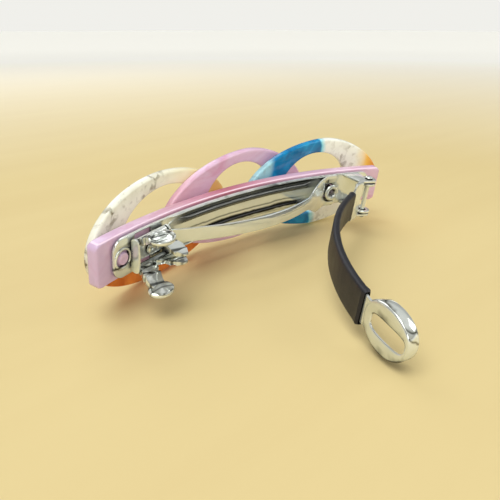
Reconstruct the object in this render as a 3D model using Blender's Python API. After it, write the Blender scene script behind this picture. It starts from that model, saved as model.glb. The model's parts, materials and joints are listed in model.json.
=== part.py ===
"""Chain-link French barrette: three oval links on a curved bar, with a sprung metal clip on the bar.

The clip's own axes are x along its length (catch end at -x), y across its width and z out of the face
that the hair lies on.  Arc lengths (the names with STATION) are measured along the bar's front face.
Helpers work in millimetres, and each finished mesh is scaled to metres.  The whole clip then stands on
its links' edges and on the open lever, leaning slightly forward, as it rests on a table.
"""
import math

import bmesh
import bpy
from mathutils import Matrix, Vector

MM = 0.001
GAP = 0.3                      # clearance between touching solids

# Pose on the table
LEAN_DEG = 8.6                 # how far the clip leans towards its open lever
OPEN_DEG = 40.5                # chord of the open lever, measured from the length of the clip

# Backing bar
BAR_LENGTH = 87.6
BAR_CENTRE = 0.8
BAR_WIDTH = 9.8
BAR_THICKNESS = 2.4
BAR_CORNER = 1.6
FRONT_RADIUS = 122.0           # the bar's front face is hollow to this radius
FACET = 4.0                    # arc pieces are faceted at this pitch

# Links
LINK_THICKNESS = 2.0
LINK_TILT_DEG = 7.0            # lets each link pass in front of the one on its left
LINK_RADIUS = 140.0
LINK_BACKSET = 0.15
LINKS = {
    "link_left": {
        "place": (-19.95, -1.5, -3.8),             # station, offset across the bar, turn in its plane
        "outline": (21.9, 21.9, 12.4, 1.97),       # half-lengths left and right, half-width, exponent
        "window": (0.55, 13.0, 9.15),              # centre, half-length, half-width
    },
    "link_middle": {
        "place": (5.0, -0.65, -2.5),
        "outline": (26.2, 20.8, 12.0, 1.75),
        "window": (-1.95, 11.05, 8.95),
    },
    "link_right": {
        "place": (29.5, -0.95, -3.2),
        "outline": (26.0, 20.8, 12.6, 1.75),
        "window": (-2.5, 11.05, 8.85),
    },
}

# Base plate of the metal clip
BASE_LENGTH = 79.8
BASE_WIDTH = 8.6
BASE_CENTRE = 0.5
BASE_THICKNESS = 0.6
BASE_CORNER = 2.6
BASE_TOP = GAP + BASE_THICKNESS
RIB_ENDS = (-20.0, 21.0)
RIB_OFFSET = 2.3
RIB_WIDTH = 1.0
RIB_TOP = 1.5
RIB_FACET = 3.7
STUD_STATION = -37.0
STUD_RADIUS = 1.4
STUD_TOP = 1.3
EYELET_STATION = 27.8
EYELET_OFFSET = -0.4
EYELET_RADIUS = 1.7
EYELET_BORE = 1.0
EYELET_RIM = 2.3
EYELET_TOP = 2.6
SLOT_STATION = -31.3
SLOT_SIZE = (4.6, 1.4)
SLOT_OFFSET = 3.2

# Hinge of the lever
HINGE_STATION = 35.3
HINGE_HEIGHT = 7.3
PIN_RADIUS = 0.6
KNUCKLE_RADIUS = 1.9
EAR_THICKNESS = 0.6
EAR_OFFSET = 3.85
EAR_FOOT = (31.7, 37.0)
CHEEK_OFFSET = 4.75
CHEEK_THICKNESS = 0.6
PIN_HEAD_RADIUS = 0.95
PIN_HEAD_THICKNESS = 0.4

# Lever
LEVER_RADIUS = 55.0
LEVER_LENGTH = 62.05           # from the hinge to the catch in the loop, along the strip
STRIP_THICKNESS = 0.5
STRIP_WIDTH = 6.4
ROOT_START = 2.9
ROOT_END = 7.2
SLEEVE_ENDS = (8.55, 55.05)
SLEEVE_WIDTH = 7.8
SLEEVE_THICKNESS = 1.7
LOOP_CENTRE = 61.5
LOOP_HALF_LENGTH = 6.1
LOOP_HALF_WIDTH = 4.85
LOOP_EXPONENT = 2.1
LOOP_THICKNESS = 0.6
LOOP_FLANGE = 0.6              # thickness of its turned-up edge
LOOP_FLANGE_TOP = 1.6
FLANGE_START = 57.6            # the flange stops short of the neck
SLOT_CENTRE = 62.2
SLOT_HALF_LENGTH = 4.45
SLOT_HALF_WIDTH = 1.8
SLOT_EXPONENT = 3.5

# Tension bow
BOW_CENTRE = 1.0
BOW_HALF_SPAN = 25.0
BOW_END = 29.5                 # its forked end lies flat on the base plate
BOW_FOOT = 1.45
BOW_RISE = 7.85
BOW_WIDTH = 3.2
BOW_FAN_WIDTH = 8.6
BOW_FAN = (15.5, 22.5)         # where it widens
BOW_THICKNESS = 0.5

# Catch
CATCH_STATION = -31.0
PIVOT_OFFSET = 3.0
PIVOT_HEIGHT = 2.3
BARREL_RADIUS = 0.75
BARREL_ENDS = (-3.3, 4.5)      # from CATCH_STATION
TAB_THICKNESS = 0.5
TAB_TOP = 3.3
BRACKET_FLOOR_HALF = 1.7
BRACKET_THICKNESS = 0.6
HEAD_CENTRE = (-2.6, 2.6, 5.6)  # from the pivot
HEAD_RADII = (2.9, 0.9, 2.3)
STEM_WIDTH = 4.0
STEM_THICKNESS = 1.1
PRONG_MIDDLE = 2.3             # from CATCH_STATION
PRONG_LENGTH = 4.6
PRONG_THICKNESS = 0.7
PRONG_LEAN = -2.1
PRONG_HEIGHT = 6.3
BARB_REACH = 0.42
RIVET_STATION = -30.3
RIVET_RADIUS = 0.75
RIVET_HEAD_RADIUS = 1.3
RIVET_HEAD = 0.6


def superellipse(half_length, half_width, exponent, count):
    """Closed outline of |x/a|^p + |y/b|^p = 1."""
    points = []
    for index in range(count):
        angle = 2 * math.pi * index / count
        cosine, sine = math.cos(angle), math.sin(angle)
        points.append((
            half_length * math.copysign(abs(cosine) ** (2 / exponent), cosine),
            half_width * math.copysign(abs(sine) ** (2 / exponent), sine),
        ))
    return points


def circle(centre_x, centre_y, radius, count=20):
    return [(x + centre_x, y + centre_y) for x, y in superellipse(radius, radius, 2, count)]


def rounded_rectangle(length, width, corner, centre=0.0, steps=5):
    points = []
    for quadrant, (sx, sy) in enumerate(((1, 1), (-1, 1), (-1, -1), (1, -1))):
        for step in range(steps + 1):
            angle = math.pi / 2 * (quadrant + step / steps)
            points.append((
                centre + sx * (length / 2 - corner) + corner * math.cos(angle),
                sy * (width / 2 - corner) + corner * math.sin(angle),
            ))
    return points


def rectangle(centre_x, centre_y, length, width):
    half_x, half_y = length / 2, width / 2
    return [(centre_x + sx * half_x, centre_y + sy * half_y)
            for sx, sy in ((-1, -1), (1, -1), (1, 1), (-1, 1))]


def new_collection(name):
    collection = bpy.data.collections.new(name)
    bpy.context.scene.collection.children.link(collection)
    return collection


def plate(outlines, bottom, top):
    """A flat plate between two heights; the first outline is its edge, and the others are holes."""
    curve = bpy.data.curves.new("outline", "CURVE")
    curve.dimensions = "2D"
    curve.fill_mode = "BOTH"
    curve.extrude = (top - bottom) / 2
    for points in outlines:
        spline = curve.splines.new("POLY")
        spline.points.add(len(points) - 1)
        for slot, (x, y) in zip(spline.points, points):
            slot.co = (x, y, 0, 1)
        spline.use_cyclic_u = True
    drawn = bpy.data.objects.new("outline", curve)
    bpy.context.scene.collection.objects.link(drawn)
    evaluated = drawn.evaluated_get(bpy.context.evaluated_depsgraph_get())
    mesh = bpy.data.meshes.new_from_object(evaluated)
    bpy.data.objects.remove(drawn)
    shape = bmesh.new()
    shape.from_mesh(mesh)
    bpy.data.meshes.remove(mesh)
    bmesh.ops.remove_doubles(shape, verts=shape.verts, dist=0.001)
    bmesh.ops.dissolve_limit(shape, verts=shape.verts, edges=shape.edges, angle_limit=math.radians(0.5))
    bmesh.ops.translate(shape, verts=shape.verts, vec=(0, 0, (top + bottom) / 2))
    return shape


def turned_upright(shape, offset):
    """Turns a plate in the x-y plane into one in the x-z plane, centred on y = offset."""
    bmesh.ops.rotate(shape, verts=shape.verts, cent=(0, 0, 0), matrix=Matrix.Rotation(math.pi / 2, 3, "X"))
    bmesh.ops.translate(shape, verts=shape.verts, vec=(0, offset, 0))
    return shape


def cylinder(radius, bottom, top, segments=20, top_radius=None):
    shape = bmesh.new()
    end_radius = radius if top_radius is None else top_radius
    bmesh.ops.create_cone(shape, cap_ends=True, segments=segments, radius1=radius, radius2=end_radius,
                          depth=top - bottom)
    bmesh.ops.translate(shape, verts=shape.verts, vec=(0, 0, (top + bottom) / 2))
    return shape


def rounded_top(shape, top, width):
    """Bevels the edges that lie at the given height."""
    rim = [edge for edge in shape.edges if all(abs(v.co.z - top) < 0.001 for v in edge.verts)]
    bmesh.ops.bevel(shape, geom=rim, offset=width, segments=3, affect="EDGES", profile=0.5)
    return shape


def moved(shape, x=0.0, y=0.0, z=0.0):
    bmesh.ops.translate(shape, verts=shape.verts, vec=(x, y, z))
    return shape


def sliced(shape, start, stop, pitch):
    """Cuts faces at a regular pitch along x, so that the shape can bend there."""
    x = start
    while x < stop:
        parts = list(shape.verts) + list(shape.edges) + list(shape.faces)
        bmesh.ops.bisect_plane(shape, geom=parts, dist=0.0001, plane_co=(x, 0, 0), plane_no=(1, 0, 0))
        x += pitch
    return shape


def bent(shape, place):
    for vertex in shape.verts:
        vertex.co = place(*vertex.co)
    return shape


def on_front_arc(station, across, height):
    """A point given by arc length, offset across the bar and height above its front face."""
    angle = station / FRONT_RADIUS
    reach = FRONT_RADIUS - height
    return Vector((reach * math.sin(angle), across, FRONT_RADIUS - reach * math.cos(angle)))


def on_lever(station, across, height):
    """A point on the lever, from the hinge; its chord runs along -x and it bulges towards the bar."""
    half = LEVER_LENGTH / LEVER_RADIUS / 2
    heading = station / LEVER_RADIUS - half
    x = -LEVER_RADIUS * (math.sin(heading) + math.sin(half)) + height * math.sin(heading)
    z = LEVER_RADIUS * (math.cos(half) - math.cos(heading)) + height * math.cos(heading)
    return Vector((x, across, z))


def arc_plate(outlines, bottom, top, place=on_front_arc, reach=46.0, pitch=FACET):
    shape = plate(outlines, bottom, top)
    return bent(sliced(shape, -reach + pitch / 2, reach, pitch), place)


def as_object(name, shape):
    mesh = bpy.data.meshes.new(name)
    bmesh.ops.recalc_face_normals(shape, faces=shape.faces)
    shape.to_mesh(mesh)
    shape.free()
    thing = bpy.data.objects.new(name, mesh)
    bpy.context.scene.collection.objects.link(thing)
    return thing


def combined(shape, others, operation):
    """Joins or cuts a shape with others, one after another, with the exact solver."""
    target = as_object("target", shape)
    for other in others:
        tool = as_object("tool", other)
        step = target.modifiers.new("step", "BOOLEAN")
        step.operation = operation
        step.solver = "EXACT"
        step.object = tool
        evaluated = target.evaluated_get(bpy.context.evaluated_depsgraph_get())
        mesh = bpy.data.meshes.new_from_object(evaluated)
        target.modifiers.clear()
        target.data = mesh
        bpy.data.objects.remove(tool)
    result = bmesh.new()
    result.from_mesh(target.data)
    bpy.data.objects.remove(target)
    bmesh.ops.remove_doubles(result, verts=result.verts, dist=0.0002)
    return result


def joined(shape, *others):
    return combined(shape, others, "UNION")


def cut(shape, *others):
    return combined(shape, others, "DIFFERENCE")


def material(name, colour, roughness, metallic=0.0):
    made = bpy.data.materials.new(name)
    made.use_nodes = True
    shader = made.node_tree.nodes["Principled BSDF"]
    shader.inputs["Base Color"].default_value = (*colour, 1.0)
    shader.inputs["Roughness"].default_value = roughness
    shader.inputs["Metallic"].default_value = metallic
    return made


def finished(name, shape, look, parent, collection):
    """Names a shape, scales it to metres and hangs it on the empty that carries it."""
    bmesh.ops.scale(shape, verts=shape.verts, vec=(MM, MM, MM))
    thing = as_object(name, shape)
    bpy.context.scene.collection.objects.unlink(thing)
    collection.objects.link(thing)
    thing.data.materials.append(look)
    thing.data.shade_smooth()
    thing.data.set_sharp_from_angle(angle=math.radians(35))
    thing.parent = parent
    return thing


def axis_empty(name, parent, location=(0, 0, 0), rotation=(0, 0, 0)):
    empty = bpy.data.objects.new(name, None)
    bpy.context.scene.collection.objects.link(empty)
    empty.parent = parent
    empty.location = Vector(location) * MM
    empty.rotation_euler = rotation
    return empty


def make_link(place, outline, window):
    """One oval link: tilted so that its left end is nearest the bar, and bent along its length."""
    station, offset, turn_deg = place
    left, right, half_width, exponent = outline
    centre, half_length, half_height = window
    rim = [(x * (left if x < 0 else right), y) for x, y in superellipse(1.0, half_width, exponent, 56)]
    hole = [(x + centre, y) for x, y in superellipse(half_length, half_height, 2.0, 36)]
    shape = plate([rim, hole], -LINK_THICKNESS, 0.0)
    bmesh.ops.rotate(shape, verts=shape.verts, cent=(0, 0, 0),
                     matrix=Matrix.Rotation(math.radians(turn_deg), 3, "Z"))
    sliced(shape, -26.0, 22.0, FACET)
    slope = math.tan(math.radians(LINK_TILT_DEG))
    seat = -BAR_THICKNESS - LINK_BACKSET
    middle = on_front_arc(station, offset, 0.0)
    rotation = Matrix.Rotation(-station / FRONT_RADIUS, 3, "Y")

    def on_link(x, y, z):
        height = seat + z - slope * (x + left)
        reach = LINK_RADIUS - height
        angle = x / LINK_RADIUS
        local = Vector((reach * math.sin(angle), y, LINK_RADIUS - reach * math.cos(angle)))
        return middle + rotation @ local

    return bent(shape, on_link)


def make_bar():
    """The backing bar, with the domed stud that holds the clip's left end and the eyelet's seat."""
    outline = rounded_rectangle(BAR_LENGTH, BAR_WIDTH, BAR_CORNER, BAR_CENTRE)
    bar = arc_plate([outline], -BAR_THICKNESS, 0.0, reach=11 * FACET)
    stud = rounded_top(cylinder(STUD_RADIUS, -1.0, STUD_TOP), STUD_TOP, 0.5)
    bent(moved(stud, x=STUD_STATION), on_front_arc)
    seat = bent(moved(cylinder(EYELET_RADIUS + GAP, -1.6, 1.0), EYELET_STATION, EYELET_OFFSET), on_front_arc)
    return cut(joined(bar, stud), seat)


def make_ear(offset):
    """An upright ear of the base plate, around the hinge pin."""
    hinge = on_front_arc(HINGE_STATION, 0, HINGE_HEIGHT)
    feet = [on_front_arc(station, 0, GAP + 0.05) for station in EAR_FOOT]
    crown = [(hinge.x + KNUCKLE_RADIUS * math.cos(angle), hinge.z + KNUCKLE_RADIUS * math.sin(angle))
             for angle in (math.radians(-35 + 15 * step) for step in range(17))]
    outline = [(feet[0].x, feet[0].z), (feet[1].x, feet[1].z)] + crown
    hole = circle(hinge.x, hinge.z, PIN_RADIUS + GAP, 16)
    ear = plate([outline, hole], -EAR_THICKNESS / 2, EAR_THICKNESS / 2)
    return turned_upright(ear, offset)


def make_base():
    """The base plate: holes, two low ribs along its middle, and the hinge ears."""
    holes = [
        circle(STUD_STATION, 0, STUD_RADIUS + GAP),
        circle(RIVET_STATION, 0, RIVET_RADIUS + GAP, 14),
        circle(EYELET_STATION, EYELET_OFFSET, EYELET_RADIUS + GAP),
        rectangle(SLOT_STATION, SLOT_OFFSET, *SLOT_SIZE),
        rectangle(SLOT_STATION, -SLOT_OFFSET, *SLOT_SIZE),
    ]
    outline = rounded_rectangle(BASE_LENGTH, BASE_WIDTH, BASE_CORNER, BASE_CENTRE)
    base = arc_plate([outline] + holes, GAP, BASE_TOP)
    rib_length = RIB_ENDS[1] - RIB_ENDS[0]
    rib_centre = (RIB_ENDS[0] + RIB_ENDS[1]) / 2
    ribs = [arc_plate([rectangle(rib_centre, side * RIB_OFFSET, rib_length, RIB_WIDTH)],
                      GAP + 0.2, RIB_TOP, pitch=RIB_FACET) for side in (-1, 1)]
    ears = [make_ear(side * EAR_OFFSET) for side in (-1, 1)]
    return joined(base, *ribs, *ears)


def make_eyelet():
    """A hollow eyelet with a rolled rim, which holds the base plate's right end to the bar."""
    body = joined(cylinder(EYELET_RADIUS, -1.2, EYELET_TOP - 0.3),
                  cylinder(EYELET_RIM, EYELET_TOP - 0.9, EYELET_TOP))
    bore = cylinder(EYELET_BORE, -2.0, EYELET_TOP + 1.0)
    return bent(moved(cut(body, bore), EYELET_STATION, EYELET_OFFSET), on_front_arc)


def make_pin():
    """The hinge pin, headed at both ends, along the y axis through the origin."""
    half = CHEEK_OFFSET + CHEEK_THICKNESS / 2 + GAP
    shank = cylinder(PIN_RADIUS, -half - 0.1, half + 0.1, segments=16)
    heads = [cylinder(PIN_HEAD_RADIUS, half, half + PIN_HEAD_THICKNESS, segments=16),
             cylinder(PIN_HEAD_RADIUS, -half - PIN_HEAD_THICKNESS, -half, segments=16)]
    return turned_upright(joined(shank, *heads), 0.0)


def make_cheek(offset):
    """A side cheek of the lever, from the strip's root to the hinge pin."""
    start, stop = on_lever(ROOT_START, 0, 0), on_lever(ROOT_END - 0.4, 0, 0)
    lower = on_lever(ROOT_END - 1.0, 0, -0.7)
    crown = [(KNUCKLE_RADIUS * math.cos(angle), KNUCKLE_RADIUS * math.sin(angle))
             for angle in (math.radians(-110 + 15 * step) for step in range(16))]
    outline = crown + [(start.x, start.z), (stop.x, stop.z), (lower.x, lower.z)]
    cheek = plate([outline, circle(0, 0, PIN_RADIUS + GAP, 16)], -CHEEK_THICKNESS / 2, CHEEK_THICKNESS / 2)
    return turned_upright(cheek, offset)


def make_lever_arm():
    """The sprung strip with its wide root, two cheeks around the pin, and the slotted loop."""
    root_half = CHEEK_OFFSET + CHEEK_THICKNESS / 2
    strip_half = STRIP_WIDTH / 2
    loop_start = SLOT_CENTRE - SLOT_HALF_LENGTH - 0.4
    upper = [(ROOT_START, root_half), (ROOT_END, root_half), (ROOT_END + 1.1, strip_half),
             (loop_start, strip_half)]
    outline = upper + [(x, -y) for x, y in reversed(upper)]
    half = STRIP_THICKNESS / 2
    strip = arc_plate([outline], -half, half, on_lever, reach=62.0, pitch=4.0)
    rim = [(x + LOOP_CENTRE, y)
           for x, y in superellipse(LOOP_HALF_LENGTH, LOOP_HALF_WIDTH, LOOP_EXPONENT, 36)]
    slot = [(x + SLOT_CENTRE, y)
            for x, y in superellipse(SLOT_HALF_LENGTH, SLOT_HALF_WIDTH, SLOT_EXPONENT, 28)]
    inside = [(x + LOOP_CENTRE, y) for x, y in superellipse(
        LOOP_HALF_LENGTH - LOOP_FLANGE, LOOP_HALF_WIDTH - LOOP_FLANGE, LOOP_EXPONENT, 36)]
    upper = [(x, y) for x, y in inside if x > FLANGE_START and y > 0.001]
    upper += [(FLANGE_START, 6.0), (SLEEVE_ENDS[1] - 1.0, 6.0)]
    hollow = upper + [(x, -y) for x, y in reversed(upper)]
    loop = arc_plate([rim, slot], -LOOP_THICKNESS / 2, LOOP_FLANGE_TOP, on_lever, reach=75.0, pitch=3.0)
    pocket = arc_plate([hollow], LOOP_THICKNESS / 2, LOOP_FLANGE_TOP + 1.0, on_lever, reach=75.0, pitch=3.0)
    cheeks = [make_cheek(side * CHEEK_OFFSET) for side in (-1, 1)]
    return joined(cut(loop, pocket), strip, *cheeks)


def make_sleeve():
    """The soft sleeve around the strip: a flattened tube, open at both ends."""
    start, stop = SLEEVE_ENDS
    middle, length = (start + stop) / 2, stop - start
    half = SLEEVE_THICKNESS / 2
    bore_half = STRIP_THICKNESS / 2 + GAP
    outer = bmesh.new()
    bmesh.ops.create_cube(outer, size=1.0)
    bmesh.ops.scale(outer, verts=outer.verts, vec=(length, SLEEVE_WIDTH, SLEEVE_THICKNESS))
    long_edges = [e for e in outer.edges if abs(e.verts[0].co.x - e.verts[1].co.x) > length / 2]
    bmesh.ops.bevel(outer, geom=long_edges, offset=half * 0.8, segments=2, affect="EDGES", profile=0.5)
    moved(outer, x=middle)
    bore = plate([rectangle(middle, 0, length + 2, STRIP_WIDTH + 2 * GAP)], -bore_half, bore_half)
    tube = cut(outer, bore)
    return bent(sliced(tube, 2.0, 62.0, 4.0), on_lever)


def make_bow():
    """The arched spring: a strip that rises off the base plate, with a forked, wider hinge end."""
    start, stop = BOW_CENTRE - BOW_HALF_SPAN, BOW_END
    half, fan = BOW_WIDTH / 2, BOW_FAN_WIDTH / 2
    fork = EYELET_RIM + GAP + 0.1
    round_end = [(EYELET_STATION + fork * math.cos(angle), EYELET_OFFSET + fork * math.sin(angle))
                 for angle in (math.radians(90 + 15 * step) for step in range(13))]
    outline = [(start, -half), (BOW_FAN[0], -half), (BOW_FAN[1], -fan), (stop, -fan)]
    outline += [(stop, EYELET_OFFSET - fork)] + list(reversed(round_end)) + [(stop, EYELET_OFFSET + fork)]
    outline += [(stop, fan), (BOW_FAN[1], fan), (BOW_FAN[0], half), (start, half)]
    shape = plate([outline], -BOW_THICKNESS / 2, BOW_THICKNESS / 2)
    sliced(shape, start + 2.0, stop, 2.0)

    def place(x, y, z):
        share = min(abs(x - BOW_CENTRE) / BOW_HALF_SPAN, 1.0)
        return on_front_arc(x, y, BOW_FOOT + BOW_RISE * (1 - share * share) + z)

    return bent(shape, place)


def make_bracket():
    """The catch bracket: a narrow floor on the base plate, with an upright tab at each end."""
    left = CATCH_STATION + BARREL_ENDS[0] - GAP - TAB_THICKNESS
    right = CATCH_STATION + BARREL_ENDS[1] + GAP + TAB_THICKNESS
    bottom = BASE_TOP + GAP
    hole = circle(RIVET_STATION, 0, RIVET_RADIUS + GAP, 14)
    floor = plate([rectangle((left + right) / 2, 0, right - left, 2 * BRACKET_FLOOR_HALF), hole],
                  bottom, bottom + BRACKET_THICKNESS)
    width = 2 * (PIVOT_OFFSET + BARREL_RADIUS)
    tabs = [plate([rectangle(x, 0, TAB_THICKNESS, width)], bottom, TAB_TOP)
            for x in (left + TAB_THICKNESS / 2, right - TAB_THICKNESS / 2)]
    return bent(joined(floor, *tabs), on_front_arc)


def make_rivet():
    """The rivet through the bracket's floor and the base plate."""
    head_bottom = BASE_TOP + GAP + BRACKET_THICKNESS + GAP
    shank = cylinder(RIVET_RADIUS, GAP + 0.05, head_bottom + 0.1, segments=16)
    head = cylinder(RIVET_HEAD_RADIUS, head_bottom, head_bottom + RIVET_HEAD, segments=16,
                    top_radius=RIVET_HEAD_RADIUS * 0.6)
    return bent(moved(joined(shank, head), x=RIVET_STATION), on_front_arc)


def slanted_block(foot, foot_size, top, top_size):
    """A four-sided block between two level rectangles, each given by its middle and (x, y) size."""
    shape = bmesh.new()
    bmesh.ops.create_cube(shape, size=1.0)
    for vertex in shape.verts:
        middle, size = (top, top_size) if vertex.co.z > 0 else (foot, foot_size)
        vertex.co = Vector((middle[0] + size[0] * vertex.co.x, middle[1] + size[1] * vertex.co.y, middle[2]))
    return shape


def make_finger(side):
    """One catch finger about its pivot: barrel, stem with an upright thumb pad, and barbed prong."""
    barrel = cylinder(BARREL_RADIUS, *BARREL_ENDS, segments=16)
    bmesh.ops.rotate(barrel, verts=barrel.verts, cent=(0, 0, 0), matrix=Matrix.Rotation(math.pi / 2, 3, "Y"))
    head = bmesh.new()
    bmesh.ops.create_uvsphere(head, u_segments=20, v_segments=10, radius=1.0)
    bmesh.ops.scale(head, verts=head.verts, vec=HEAD_RADII)
    moved(head, *HEAD_CENTRE)
    stem = slanted_block((-1.2, 0.1, 0.1), (STEM_WIDTH, STEM_THICKNESS),
                         HEAD_CENTRE, (STEM_WIDTH * 0.8, STEM_THICKNESS))
    prong = slanted_block((PRONG_MIDDLE, 0, 0), (PRONG_LENGTH * 0.9, PRONG_THICKNESS),
                          (PRONG_MIDDLE, PRONG_LEAN, PRONG_HEIGHT), (PRONG_LENGTH * 0.7, PRONG_THICKNESS))
    barb_middle = PRONG_LEAN + BARB_REACH / 2
    barb = slanted_block((PRONG_MIDDLE, barb_middle, PRONG_HEIGHT - 0.1),
                         (PRONG_LENGTH * 0.7, PRONG_THICKNESS + BARB_REACH * 0.9),
                         (PRONG_MIDDLE, PRONG_LEAN, PRONG_HEIGHT + 1.3), (PRONG_LENGTH * 0.25, 0.4))
    shape = joined(barrel, stem, head, prong, barb)
    if side < 0:
        bmesh.ops.scale(shape, verts=shape.verts, vec=(1, -1, 1))
    return shape


def world_bounds(things):
    bpy.context.view_layer.update()
    points = [thing.matrix_world @ vertex.co for thing in things for vertex in thing.data.vertices]
    return ([min(p[axis] for p in points) for axis in range(3)],
            [max(p[axis] for p in points) for axis in range(3)])


def build():
    for thing in list(bpy.data.objects):
        bpy.data.objects.remove(thing)
    parts = new_collection("chain_barrette")
    steel = material("polished_steel", (0.72, 0.73, 0.71), 0.15, 1.0)
    rubber = material("sleeve_black", (0.03, 0.03, 0.033), 0.5)
    pink = material("acetate_pink", (0.72, 0.45, 0.58), 0.25)
    looks = {
        "link_left": material("acetate_orange", (0.80, 0.60, 0.38), 0.25),
        "link_middle": material("acetate_rose", (0.72, 0.47, 0.60), 0.25),
        "link_right": material("acetate_blue", (0.25, 0.50, 0.62), 0.25),
    }
    clip = axis_empty("clip_frame", None, rotation=(math.radians(90 + LEAN_DEG), 0, 0))
    hinge = axis_empty("lever_hinge_axis", clip, on_front_arc(HINGE_STATION, 0, HINGE_HEIGHT),
                       (0, math.radians(OPEN_DEG), 0))
    things = [finished(name, make_link(**shape), looks[name], clip, parts) for name, shape in LINKS.items()]
    fixed = {
        "backing_bar": (make_bar(), pink),
        "base_plate": (make_base(), steel),
        "base_eyelet": (make_eyelet(), steel),
        "catch_bracket": (make_bracket(), steel),
        "catch_rivet": (make_rivet(), steel),
        "tension_bow": (make_bow(), steel),
    }
    things += [finished(name, shape, look, clip, parts) for name, (shape, look) in fixed.items()]
    things.append(finished("hinge_pin", make_pin(), steel, hinge, parts))
    things.append(finished("lever_arm", make_lever_arm(), steel, hinge, parts))
    things.append(finished("lever_sleeve", make_sleeve(), rubber, hinge, parts))
    for name, side in (("catch_finger_upper", 1), ("catch_finger_lower", -1)):
        pivot = axis_empty(name + "_axis", clip, on_front_arc(CATCH_STATION, side * PIVOT_OFFSET, PIVOT_HEIGHT),
                           (0, -CATCH_STATION / FRONT_RADIUS, 0))
        things.append(finished(name, make_finger(side), steel, pivot, parts))
    low, high = world_bounds(things)
    clip.location = (-(low[0] + high[0]) / 2, -(low[1] + high[1]) / 2, -low[2])


build()
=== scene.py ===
"""Looks of a chain-link French barrette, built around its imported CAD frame."""
import json
import math

import bmesh
import bpy
from mathutils import Matrix, Vector


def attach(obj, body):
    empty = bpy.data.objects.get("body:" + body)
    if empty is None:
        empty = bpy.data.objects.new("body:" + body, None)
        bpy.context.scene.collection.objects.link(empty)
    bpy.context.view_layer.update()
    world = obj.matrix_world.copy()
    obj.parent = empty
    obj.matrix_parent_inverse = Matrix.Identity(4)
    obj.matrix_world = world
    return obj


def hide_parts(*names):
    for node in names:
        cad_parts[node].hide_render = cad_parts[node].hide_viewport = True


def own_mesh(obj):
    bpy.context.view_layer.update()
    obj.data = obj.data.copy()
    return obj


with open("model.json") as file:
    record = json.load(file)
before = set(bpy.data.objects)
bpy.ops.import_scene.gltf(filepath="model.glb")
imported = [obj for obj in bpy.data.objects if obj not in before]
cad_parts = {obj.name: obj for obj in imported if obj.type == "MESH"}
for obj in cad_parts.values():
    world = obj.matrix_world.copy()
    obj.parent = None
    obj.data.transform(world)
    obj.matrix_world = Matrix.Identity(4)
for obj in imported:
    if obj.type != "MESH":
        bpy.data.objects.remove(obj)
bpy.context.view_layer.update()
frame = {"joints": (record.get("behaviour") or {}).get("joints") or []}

MM = 0.001

# The clip's own axes: along it, across it, and out of the face that the hair lies on.  From here on,
# sizes are in mm.
JOINTS = {joint["name"]: joint for joint in frame["joints"]}
ALONG = Vector((1.0, 0.0, 0.0))
ACROSS = Vector(JOINTS["lever_hinge"]["axis"]).normalized()
OUT = ALONG.cross(ACROSS)
FRONT_RADIUS = 122.0           # of the bar's front face, which stations are measured along
HINGE = (35.3, 0.0, 7.3)       # station, offset across the clip, and height above that face
OPEN = math.radians(40.5)
LEVER_RADIUS = 55.0
LEVER_LENGTH = 62.05
CATCH_STATION = -31.0
PIVOT = (3.0, 2.3)             # a finger's pivot: offset across the clip, and height
BARREL = (-3.3, 4.5)           # a finger's barrel, along the clip from the catch's station
TAB, TAB_GAP = 0.5, 0.3        # the bracket's tabs: thickness, and clearance to the barrels
EYELET = (27.8, -0.4)
RIVET_STATION = -30.3
STUD_STATION = -37.0

# Radii
PIN_HOLE = 0.9
KNUCKLE = 1.9                  # the ears' and cheeks' heads around the pin
RIVET_HOLE = 1.05
STUD_HOLE = 1.75

# The bar, the base plate on it, and the bow on that
BAR_LENGTH, BAR_WIDTH, BAR_THICKNESS = 87.6, 9.8, 2.4
BAR_CENTRE = 0.8
BAR_CORNER, BAR_EDGE = 1.6, 0.55
PLATE_BOTTOM, PLATE_TOP = 0.3, 0.9
BOW_START, BOW_STOP, BOW_CROWN = -24.0, 29.5, 1.0
BOW_FOOT, BOW_RISE, BOW_HALF_SPAN = 1.45, 7.85, 25.0

# The links: where they sit (station, offset across the bar, turn in their own plane in degrees), their
# outline (half-lengths left and right, half-width, exponent) and their window (centre, half-length,
# half-width)
LINKS = {
    "link_left": ((-19.95, -1.5, -3.8), (21.9, 21.9, 12.4, 1.97), (0.55, 13.0, 9.15)),
    "link_middle": ((5.0, -0.65, -2.5), (26.2, 20.8, 12.0, 1.75), (-1.95, 11.05, 8.95)),
    "link_right": ((29.5, -0.95, -3.2), (26.0, 20.8, 12.6, 1.75), (-2.5, 11.05, 8.85)),
}
LINK_RADIUS, LINK_TILT = 140.0, math.radians(7.0)
LINK_THICKNESS, LINK_EDGE, LINK_DOME = 2.0, 0.62, 0.12
LINK_GAP = 0.15                # between the bar and a link's back


def on_front(station, across=0.0, height=0.0):
    """A point by arc length along the bar's front face, offset across it and height above it."""
    angle = station / FRONT_RADIUS
    reach = FRONT_RADIUS - height
    return Vector((reach * math.sin(angle), across, FRONT_RADIUS - reach * math.cos(angle)))


def to_world(point):
    """A point of the clip, in mm, as a place in the frame, in metres."""
    return ORIGIN + (point.x * ALONG + point.y * ACROSS + point.z * OUT) * MM


ORIGIN = Vector((0.0, 0.0, 0.0))
ORIGIN = Vector(JOINTS["lever_hinge"]["pos_m"]) - to_world(on_front(*HINGE))    # the clip's own origin


def on_lever(distance, across=0.0, height=0.0):
    """A point on the open lever, by its distance along the strip from the hinge, and its height off it."""
    half = LEVER_LENGTH / LEVER_RADIUS / 2
    heading = distance / LEVER_RADIUS - half
    point = Vector((
        -LEVER_RADIUS * (math.sin(heading) + math.sin(half)) + height * math.sin(heading),
        across,
        LEVER_RADIUS * (math.cos(half) - math.cos(heading)) + height * math.cos(heading),
    ))
    return on_front(*HINGE) + Matrix.Rotation(OPEN, 3, "Y") @ point


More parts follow.
